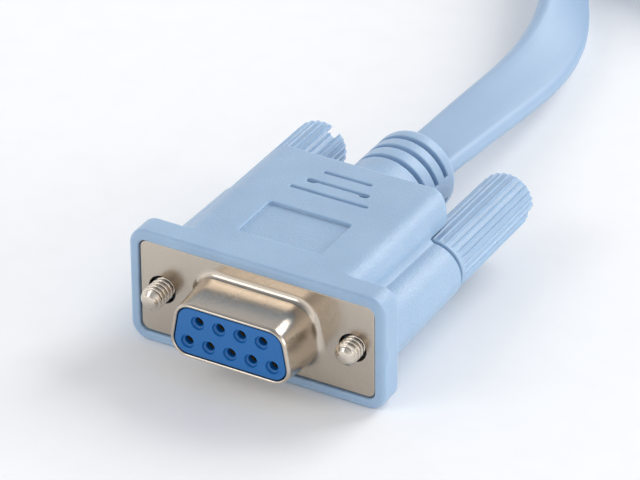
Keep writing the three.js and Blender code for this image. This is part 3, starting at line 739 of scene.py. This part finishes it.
def contacts():
    bore_end = contact_front + CONTACT_BORE_DEPTH
    bevel = 0.08
    tool = turned("contact", [
        (0, bore_end), (CONTACT_BORE, bore_end - 0.3), (CONTACT_BORE, contact_front + bevel),
        (CONTACT_BORE + bevel, contact_front), (contact_radius - bevel, contact_front),
        (contact_radius, contact_front + bevel), (contact_radius, contact_back),
        (CUP_BORE, contact_back), (CUP_BORE, contact_back - CUP_DEPTH),
        (0, contact_back - CUP_DEPTH)], 24)
    empty = bpy.data.meshes.new("contacts")
    return in_two_rows(empty, tool, bronze_painted_hole_shade, cut=False)


piece("pin_block", insulator(), blue_pbt, "connector", ["insulator"])
# The contacts' dark brown is painted shade for the holes they sit in
piece("socket_contacts", contacts(), bronze_painted_hole_shade, "connector",
      [f"contact_{at + 1}" for at in range(LOWER_CONTACTS + UPPER_CONTACTS)])


# Thumbscrews

THREAD_PITCH = 0.635  # 4-40
THREAD_DEPTH = 0.36
THREAD_LENGTH = 7.5
TIP_RADIUS = 0.85
TIP_TAPER = 0.6
TIP_BREAK = 0.08
RIBS = 25
RIB_DEPTH = 0.22
KNOB_END_ROUND = 1.1
KNOB_TAPER = 0.12
KNOB_SLOT_WIDTH = 1.25
KNOB_SLOT_DEPTH = 1.9
KNOB_SLOT_TURN = {"left": -55, "right": 20}


def round_parts(tree):
    """Distance from the Y axis, angle about it in turns and place along it, of each point."""
    parts = add(tree, "ShaderNodeSeparateXYZ", {"Vector": add(tree, "GeometryNodeInputPosition")})
    flat = add(tree, "ShaderNodeCombineXYZ", {"X": parts.outputs["X"], "Z": parts.outputs["Z"]})
    radius = add(tree, "ShaderNodeVectorMath", {0: flat}, operation="LENGTH").outputs["Value"]
    angle = add(tree, "ShaderNodeMath", {0: parts.outputs["Z"], 1: parts.outputs["X"]},
                operation="ARCTAN2")
    turns = add(tree, "ShaderNodeMath", {0: angle, 1: 2 * math.pi}, operation="DIVIDE")
    return flat, radius, turns, parts.outputs["Y"]


def put_at_radius(tree, shape, flat, radius, wanted):
    """Moves each point of a turned shape straight in or out to the wanted radius."""
    change = add(tree, "ShaderNodeMath", {0: wanted, 1: radius}, operation="SUBTRACT")
    way = add(tree, "ShaderNodeVectorMath", {0: flat}, operation="NORMALIZE")
    move = add(tree, "ShaderNodeVectorMath", {0: way, "Scale": change}, operation="SCALE")
    return add(tree, "GeometryNodeSetPosition", {"Geometry": shape, "Offset": move})


def thread_tree():
    """Sinks a helical groove into a turned blank, from its tip for the thread's length."""
    tree, given = new_tree("thread", [("Blank", "Geometry"), ("Pitch", "Float"), ("Major", "Float"),
                                      ("Depth", "Float"), ("End", "Float")])
    flat, radius, turns, along = round_parts(tree)
    laps = add(tree, "ShaderNodeMath", {0: along, 1: given["Pitch"]}, operation="DIVIDE")
    phase = add(tree, "ShaderNodeMath", {0: laps, 1: turns}, operation="ADD")
    wave = add(tree, "ShaderNodeMath", {0: phase, 1: 0.5}, operation="PINGPONG")
    hill = add(tree, "ShaderNodeMapRange", {"Value": wave, "From Min": 0.06, "From Max": 0.42},
               interpolation_type="SMOOTHSTEP")
    sunk = add(tree, "ShaderNodeMath", {0: hill, 1: given["Depth"]}, operation="MULTIPLY")
    fade = add(tree, "ShaderNodeMath", {0: given["End"], 1: along}, operation="SUBTRACT")
    fade.use_clamp = True
    cut = add(tree, "ShaderNodeMath", {0: sunk, 1: fade}, operation="MULTIPLY")
    wanted = add(tree, "ShaderNodeMath", {0: given["Major"], 1: cut}, operation="SUBTRACT")
    kept = add(tree, "ShaderNodeMath", {0: radius, 1: wanted}, operation="MINIMUM")
    close_tree(tree, put_at_radius(tree, given["Blank"], flat, radius, kept), rolled_nickel)
    return tree


def knob_tree():
    """Sinks flutes along a turned blank, which leaves sharp ribs, and cuts the driver slot."""
    tree, given = new_tree("knob", [("Blank", "Geometry"), ("Ribs", "Int"), ("Depth", "Float"),
                                    ("Front", "Float"), ("Back", "Float"), ("Slot", "Vector"),
                                    ("Slot place", "Vector"), ("Slot turn", "Vector")])
    flat, radius, turns, along = round_parts(tree)
    count = add(tree, "ShaderNodeMath", {0: turns, 1: given["Ribs"]}, operation="MULTIPLY")
    off_rib = add(tree, "ShaderNodeMath", {0: count, 1: 0.5}, operation="PINGPONG")
    from_front = add(tree, "ShaderNodeMath", {0: along, 1: given["Front"]}, operation="SUBTRACT")
    from_back = add(tree, "ShaderNodeMath", {0: given["Back"], 1: along}, operation="SUBTRACT")
    sunk = given["Depth"]
    # A flute rises from nothing to its full depth beside its rib and at both its ends
    for place, none, full in ((off_rib, 0.02, 0.2), (from_front, 0.35, 0.9), (from_back, 0.02, 0.6)):
        rise = add(tree, "ShaderNodeMapRange", {"Value": place, "From Min": none, "From Max": full},
                   interpolation_type="SMOOTHSTEP")
        sunk = add(tree, "ShaderNodeMath", {0: sunk, 1: rise}, operation="MULTIPLY")
    wanted = add(tree, "ShaderNodeMath", {0: radius, 1: sunk}, operation="SUBTRACT")
    safe = add(tree, "ShaderNodeMath", {0: wanted, 1: 0}, operation="MAXIMUM")
    ribbed = put_at_radius(tree, given["Blank"], flat, radius, safe)
    cutter = add(tree, "GeometryNodeMeshCube", {"Size": given["Slot"]})
    placed = add(tree, "GeometryNodeTransform", {
        "Geometry": cutter, "Translation": given["Slot place"], "Rotation": given["Slot turn"]})
    slotted = add(tree, "GeometryNodeMeshBoolean", {"Mesh 1": ribbed, "Mesh 2": placed},
                  operation="DIFFERENCE", solver="EXACT")
    close_tree(tree, slotted, moulded_vinyl)
    return tree


def screw_mesh(tip, end, major, tree):
    """A screw about the Y axis: a flat tip, a short taper and fine rings where the thread goes."""
    profile = [(0, tip), (TIP_RADIUS - TIP_BREAK, tip), (TIP_RADIUS, tip + TIP_BREAK)]
    for y in np.arange(0.12, THREAD_LENGTH, THREAD_PITCH / 12):
        grow = min(1, (y - TIP_BREAK) / TIP_TAPER)
        profile.append((TIP_RADIUS + (major - TIP_RADIUS) * grow, tip + y))
    profile += [(major, end), (0, end)]
    blank = turned("screw_blank", profile, 48)
    return grown(blank, tree, Pitch=THREAD_PITCH, Major=major, Depth=THREAD_DEPTH,
                 End=tip + THREAD_LENGTH - 0.5)


def knob_mesh(start, end, front_radius, turn, tree):
    """A knob about the Y axis, with a rounded end."""
    rear_radius = front_radius - KNOB_TAPER
    shoulder = rear_radius - KNOB_END_ROUND
    edge = 0.15
    profile = [(0, start), (front_radius - edge, start), (front_radius - 0.3 * edge, start + 0.3 * edge),
               (front_radius, start + edge)]
    for share in (0.015, 0.03, 0.05, 0.08, 0.15, 0.3, 0.45, 0.6, 0.75, 0.88):
        profile.append((front_radius - share * KNOB_TAPER, start + share * (end - start)))
    for angle in np.linspace(0, math.pi / 2, 9):
        profile.append((shoulder + KNOB_END_ROUND * math.cos(angle),
                        end - KNOB_END_ROUND * (1 - math.sin(angle))))
    profile += [(0.55 * shoulder, end), (0, end)]
    blank = turned("knob_blank", profile, RIBS * 16)
    return grown(blank, tree, Ribs=RIBS, Depth=RIB_DEPTH, Front=start, Back=end,
                 Slot=(3 * front_radius, 2 * KNOB_SLOT_DEPTH, KNOB_SLOT_WIDTH),
                 **{"Slot place": (0, end, 0), "Slot turn": (0, math.radians(turn), 0)})


thread = thread_tree()
fluted = knob_tree()
for side, sign in (("left", -1), ("right", 1)):
    screw = side + "_screw"
    knob = side + "_knob"
    body = side + "_thumbscrew"
    major = (high(screw)[2] - low(screw)[2]) / 2
    there = HOME @ Matrix.Translation((sign * screw_x, 0, 0))
    piece(side + "_threaded_screw", screw_mesh(front(screw), back(screw), major, thread),
          rolled_nickel, body, [screw], crease=50, home=there)
    made = knob_mesh(front(knob), back(knob), knob_radius, KNOB_SLOT_TURN[side], fluted)
    piece(side + "_ribbed_knob", made, moulded_vinyl, body, [knob], crease=50, home=there)


# Cable: out of the relief, over to the hank, round it, and back to the plug. A station is
# (x, y, height over the floor, degrees that its width is turned from level).

CABLE_WIDTH = 7.75
CABLE_THICKNESS = 2.4
HANK_PITCH = 2.45
HANK_LAPS = 5.5
HANK_INNER_RADIUS = 15.4
HANK_HALF_RUN = 39.8
SEAT_GAP = 0.3
PLUG_LENGTH = 21.5
ENTRY_DEPTH = 10
hank_x, hank_y = middle("cable_hank")[:2] - (0, PLATE_FRONT)
run_z = middle("cable_hank")[2]
hank_outer_radius = HANK_INNER_RADIUS + HANK_LAPS * HANK_PITCH
run_x = hank_x - hank_outer_radius
inner_x = hank_x + HANK_INNER_RADIUS
exit_z = AXIS_HEIGHT
plug_z = 4
plug_front = front("plug_body")
plug_back = plug_front + PLUG_LENGTH

lead_stations = [
    (0, relief_back - 1.5, exit_z, 0),
    (0, relief_back + SEAT_GAP, exit_z, 0),
    (0, 42, exit_z - 0.15, 2),
    (0, 46, exit_z - 0.45, 5),
    (-0.1, 50, exit_z - 0.8, 8),
    (-0.2, 55, exit_z - 1.25, 12),
    (-0.3, 60, exit_z - 1.75, 16),
    (-0.5, 65, exit_z - 2.25, 20),
    (-0.9, 70, exit_z - 2.6, 24.5),
    (-1.7, 75, exit_z - 2.8, 30),
    (-3, 80, exit_z - 2.82, 37),
    (-4.9, 85, exit_z - 2.75, 45),
    (-7.2, 90, exit_z - 2.65, 54),
    (-9.7, 95, exit_z - 2.55, 63),
    (-12.2, 99.5, run_z, 72),
    (-14.2, 104, run_z, 80),
    (-15.45, 108.5, run_z, 86),
    (-16.15, 114, run_z, 90),
    (run_x, 119.5, run_z, 90),
]
tail_stations = [
    (inner_x - 0.3, 203, run_z, 88),
    (inner_x - 1.4, 197, run_z - 0.05, 81),
    (inner_x - 3.6, 191, run_z - 0.15, 70),
    (inner_x - 6.4, 186, run_z - 0.3, 57),
    (inner_x - 9.3, 181, run_z - 0.45, 43),
    (inner_x - 12, 176, run_z - 0.6, 28),
    (inner_x - 14, 171, plug_z + 0.1, 14),
    (inner_x - 15.1, 166, plug_z, 5),
    (hank_x, 161, plug_z, 0),
    (hank_x, plug_back, plug_z, 0),
    (hank_x, plug_back - ENTRY_DEPTH + SEAT_GAP, plug_z, 0),
]


def hank_stations(per_lap=110):
    """The hank from its outer run to its inner one: runs and round ends that close in lap by lap."""
    mean = HANK_INNER_RADIUS + HANK_LAPS * HANK_PITCH / 2
    run = 2 * HANK_HALF_RUN / (4 * HANK_HALF_RUN + 2 * math.pi * mean)
    stations = []
    for laps in np.linspace(0, HANK_LAPS, int(per_lap * HANK_LAPS) + 1):
        radius = hank_outer_radius - HANK_PITCH * laps
        side = 1 if laps % 1 >= 0.5 else -1  # the left run and far end come first
        share = laps % 0.5
        if share < run:
            x = side * radius
            y = side * HANK_HALF_RUN * (1 - 2 * share / run)
        else:
            angle = math.pi * (share - run) / (0.5 - run)
            x = side * radius * math.cos(angle)
            y = -side * (HANK_HALF_RUN + radius * math.sin(angle))
        stations.append((hank_x + x, hank_y + y, run_z, 90))
    return stations


def smooth(stations, spacing):
    """Evenly spaced stations on one smooth curve through the given ones."""
    given = np.array(stations, float)
    along = np.concatenate([[0], np.cumsum(np.linalg.norm(np.diff(given[:, :3], axis=0), axis=1))])
    slope = np.gradient(given, along, axis=0)
    at = np.linspace(0, along[-1], int(along[-1] / spacing) + 1)
    left = np.clip(np.searchsorted(along, at, side="right") - 1, 0, len(along) - 2)
    width = np.diff(along)[left][:, None]
    t = (at - along[left])[:, None] / width
    near = (1 + 2 * t) * (1 - t) ** 2 * given[left] + t * (1 - t) ** 2 * width * slope[left]
    far = t * t * (3 - 2 * t) * given[left + 1] - t * t * (1 - t) * width * slope[left + 1]
    return near + far


def flat_cable(stations):
    """Flat section with round edges, swept along the stations, with a map of its lay."""
    centre = stations[:, :3]
    way = np.gradient(centre, axis=0)
    way /= np.linalg.norm(way, axis=1, keepdims=True)
    level = np.stack([way[:, 1], -way[:, 0], 0 * way[:, 0]], axis=1)
    level /= np.linalg.norm(level, axis=1, keepdims=True)
    turn = np.radians(stations[:, 3:])
    across = level * np.cos(turn) + np.cross(way, level) * np.sin(turn)
    through = np.cross(way, across)
    half = CABLE_THICKNESS / 2
    reach = CABLE_WIDTH / 2 - half
    section = []
    for side in (1, -1):
        for angle in np.linspace(-math.pi / 2, math.pi / 2, 9):
            section.append((side * (reach + half * math.cos(angle)), side * half * math.sin(angle)))
        section += [(side * reach * share, side * half) for share in (0.5, 0, -0.5)]
    rings = [[c + a * wide + t * thick for wide, thick in section]
             for c, a, t in zip(centre, across, through)]
    mesh = skin("flat_cable", rings)
    lengths = np.concatenate([[0], np.cumsum(np.linalg.norm(np.diff(centre, axis=0), axis=1))])
    round_it = np.concatenate([[0], np.cumsum(np.linalg.norm(np.diff(section, axis=0), axis=1))])
    lay = mesh.uv_layers.new(name="lay")
    for loop in mesh.loops:
        ring, at = divmod(loop.vertex_index, len(section))
        lay.data[loop.index].uv = (lengths[ring], round_it[at])
    return mesh, lengths[-1]


FLOOR_HOME = Matrix.Scale(MM, 4) @ Matrix.Translation((0, PLATE_FRONT, 0))
route = smooth(lead_stations + hank_stations() + tail_stations, 1.8)
cable_mesh, cable_length = flat_cable(route)
cable = piece("flat_cable", cable_mesh, jacket_vinyl, "connector",
              ["cable_lead", "cable_hank", "cable_tail"], crease=50, home=FLOOR_HOME)


# Straps: a band round each run, its end lapped on top

STRAP_THICKNESS = 0.8
STRAP_CORNER = 1.2
STRAP_EDGE = 0.2
LAP_LENGTH = 9
LAP_SINK = 0.1
LAP_EDGE = 0.3


def strap(side):
    node = side + "_tie"
    centre = middle(node) - (0, PLATE_FRONT, 0)
    size = high(node) - low(node)
    lap_height = 1.1 * STRAP_THICKNESS
    loop_height = size[2] - lap_height + 0.1 * STRAP_THICKNESS
    centre_z = low(node)[2] + loop_height / 2
    outer = rectangle_corners(size[0], loop_height, STRAP_CORNER)
    inside = STRAP_CORNER - STRAP_THICKNESS
    half = size[1] / 2
    flat = half - STRAP_EDGE
    levels = [(STRAP_CORNER - STRAP_EDGE, -half), (STRAP_CORNER, -flat), (STRAP_CORNER, flat),
              (STRAP_CORNER - STRAP_EDGE, half), (inside + STRAP_EDGE, half), (inside, flat),
              (inside, -flat), (inside + STRAP_EDGE, -half)]
    band = stacked(node + "_band", [(outer, *level) for level in levels], endless=True)
    band.transform(Matrix.Translation((centre[0], centre[1], centre_z)))
    lap = bmesh.new()
    lap.from_mesh(band)
    made = bmesh.ops.create_cube(lap, size=1)["verts"]
    top = centre_z + loop_height / 2
    bmesh.ops.scale(lap, vec=(LAP_LENGTH, 2 * flat, lap_height), verts=made)
    bmesh.ops.translate(lap, vec=(centre[0], centre[1], top + lap_height / 2 - LAP_SINK), verts=made)
    edges = list({e for v in made for e in v.link_edges})
    bmesh.ops.bevel(lap, geom=edges, offset=LAP_EDGE, segments=3, affect="EDGES")
    lap.to_mesh(band)
    lap.free()
    return piece(side + "_strap", band, strap_weave, "connector", [node],
                 home=FLOOR_HOME)


straps = [strap("left"), strap("right")]


# Modular plug: the CAD solid with its edges eased, and eight blades over eight conductors

PLUG_WAYS = 8
blade_pitch = middle("plug_contact_2")[0] - middle("plug_contact_1")[0]


def eased_plug():
    """A merged copy of the plug's solid with small round edges."""
    work = bmesh.new()
    work.from_mesh(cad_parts["plug_body"].data)
    bmesh.ops.remove_doubles(work, verts=work.verts, dist=1e-7)
    bmesh.ops.dissolve_limit(work, angle_limit=math.radians(1), verts=work.verts, edges=work.edges)
    mesh = bpy.data.meshes.new("plug")
    work.to_mesh(mesh)
    work.free()
    holder = holder_of(mesh)
    modifier = holder.modifiers.new("ease", "BEVEL")
    modifier.width = 0.12 * MM
    modifier.segments = 2
    modifier.limit_method = "ANGLE"
    modifier.angle_limit = math.radians(30)
    return plain_mesh(holder)


def row_tree(name, material):
    """Repeats a shape across the plug, one for each way, and numbers the copies."""
    tree, given = new_tree(name, [("Shape", "Geometry"), ("Pitch", "Float"), ("Ways", "Int"),
                                  ("Middle", "Vector")])
    line = points_in_line(tree, given["Ways"], given["Pitch"], given["Middle"])
    copies = add(tree, "GeometryNodeInstanceOnPoints", {"Points": line, "Instance": given["Shape"]})
    index = add(tree, "GeometryNodeInputIndex")
    numbered = add(tree, "GeometryNodeStoreNamedAttribute", {
        "Geometry": copies, "Name": "way", "Value": index}, data_type="FLOAT", domain="INSTANCE")
    close_tree(tree, numbered, material)
    return tree


def conductor_vinyl():
    # Extruded PVC insulation in eight plain colours, one for each way of the plug
    made, tree, shader = finish_named("extruded conductor insulation", IOR=1.53, Roughness=0.4)
    way = add(tree, "ShaderNodeAttribute", attribute_name="way")
    share = add(tree, "ShaderNodeMath", {0: way.outputs["Fac"], 1: PLUG_WAYS}, operation="DIVIDE")
    colours = add(tree, "ShaderNodeValToRGB", {"Fac": share})
    colours.color_ramp.interpolation = "CONSTANT"
    codes = ["#8a8d92", "#c8662a", "#20242a", "#b02a2c", "#2f8a4a", "#d9c23a", "#2d5fae", "#6b4328"]
    while len(colours.color_ramp.elements) < len(codes):
        colours.color_ramp.elements.new(1)
    for at, code in enumerate(codes):
        colours.color_ramp.elements[at].position = max(0, (at - 0.5) / len(codes))
        colours.color_ramp.elements[at].color = linear(code)
    tree.links.new(colours.outputs["Color"], shader.inputs["Base Color"])
    return made


def blade_blank():
    """One contact blade: a thin plate with rounded corners."""
    size = high("plug_contact_1") - low("plug_contact_1")
    corners = rectangle_corners(size[1], size[2], 0.25)
    rings = [[(x, y, z) for y, z in outline(corners, 0.25, 4)] for x in (-size[0] / 2, size[0] / 2)]
    return skin("blade", rings)


insulated = conductor_vinyl()
wire_front = plug_front + 1.2
wire_back = plug_back - ENTRY_DEPTH + 0.6
WIRE_RADIUS = 0.44
WIRE_EDGE = 0.1
WIRE_HEIGHT = 3.6
wire = turned("conductor", [
    (0, wire_front), (WIRE_RADIUS - WIRE_EDGE, wire_front), (WIRE_RADIUS, wire_front + WIRE_EDGE),
    (WIRE_RADIUS, wire_back), (0, wire_back)], 16)
wires_mesh = grown(wire, row_tree("conductor_row", insulated), Pitch=blade_pitch, Ways=PLUG_WAYS,
                   Middle=(hank_x, 0, WIRE_HEIGHT))
wires = piece("plug_conductors", wires_mesh, insulated, "connector", [],
              home=FLOOR_HOME)
blade_y = middle("plug_contact_1")[1] - PLATE_FRONT
blades_mesh = grown(blade_blank(), row_tree("blade_row", gold_flash), Pitch=blade_pitch,
                    Ways=PLUG_WAYS, Middle=(hank_x, blade_y, middle("plug_contact_1")[2]))
blades = piece("plug_blades", blades_mesh, gold_flash, "connector",
               [f"plug_contact_{at + 1}" for at in range(PLUG_WAYS)], home=FLOOR_HOME)
plug = piece("clear_plug", eased_plug(), clear_plastic, "connector",
             ["plug_body"], home=Matrix.Identity(4))


# Camera, floor and light

EYE = Vector((0.257615, -0.446934, 0.330197))
AIM = Vector((0.002588, -0.005925, 0.013223))
ROLL = math.radians(-0.45)
LENS = 296.47


def camera():
    back = (EYE - AIM).normalized()
    level = Vector((-back.y, back.x, 0)).normalized()
    upright = back.cross(level)
    right = level * math.cos(ROLL) + upright * math.sin(ROLL)
    up = upright * math.cos(ROLL) - level * math.sin(ROLL)
    made = bpy.data.cameras.new("camera")
    made.lens = LENS
    made.sensor_width = 36
    holder = holder_of(made)
    holder.matrix_world = Matrix((right, up, back)).transposed().to_4x4()
    holder.location = EYE
    bpy.context.scene.camera = holder


def card_floor():
    # Matt white card. Its tooth is too fine to show, so its mottle is drawn at 4 mm.
    made, tree, shader = finish_named("matt white card", Roughness=0.9)
    place = add(tree, "ShaderNodeTexCoord").outputs["Object"]
    mottle = add(tree, "ShaderNodeTexNoise", {"Vector": place, "Scale": per_mm(4), "Detail": 2})
    colour = add(tree, "ShaderNodeMix", {"Factor": mottle, "A": linear("#fbfbfb"),
                                         "B": linear("#f6f6f6")}, data_type="RGBA")
    joined_up(tree, shader, colour)
    mesh = mesh_of("floor", [(-3, -3, 0), (3, -3, 0), (3, 3, 0), (-3, 3, 0)], [(0, 1, 2, 3)])
    mesh.materials.append(made)
    holder_of(mesh)


def softbox(name, place, width, height, power):
    """A soft rectangular light that faces the connector."""
    made = bpy.data.lights.new(name, "AREA")
    made.shape = "RECTANGLE"
    made.size = width
    made.size_y = height
    made.energy = power
    holder = holder_of(made)
    holder.location = place
    holder.rotation_euler = (AIM - Vector(place)).to_track_quat("-Z", "Y").to_euler()


def light_tent():
    """White tent round the stage, bright at its sides and dimmer overhead."""
    world = bpy.data.worlds.new("light tent")
    world.use_nodes = True
    tree = world.node_tree
    way = add(tree, "ShaderNodeTexCoord").outputs["Generated"]
    height = add(tree, "ShaderNodeSeparateXYZ", {"Vector": way}).outputs["Z"]
    share = add(tree, "ShaderNodeMapRange", {"Value": height, "From Min": 0.1, "From Max": 0.95})
    cloth = add(tree, "ShaderNodeMix", {"Factor": share, "A": linear("#ffffff"),
                                        "B": linear("#8a8e96")}, data_type="RGBA")
    back = tree.nodes["Background"]
    tree.links.new(cloth.outputs["Result"], back.inputs["Color"])
    back.inputs["Strength"].default_value = 1.25
    bpy.context.scene.world = world


camera()
card_floor()
softbox("back_right_light", (0.4, 0.95, 0.8), 0.7, 0.7, 8)
softbox("front_left_light", (-0.47, -0.68, 0.72), 0.5, 0.4, 1.6)
softbox("right_light", (1.1, 0.25, 0.3), 0.6, 0.6, 2.8)
light_tent()
bpy.context.scene.view_settings.view_transform = "Standard"
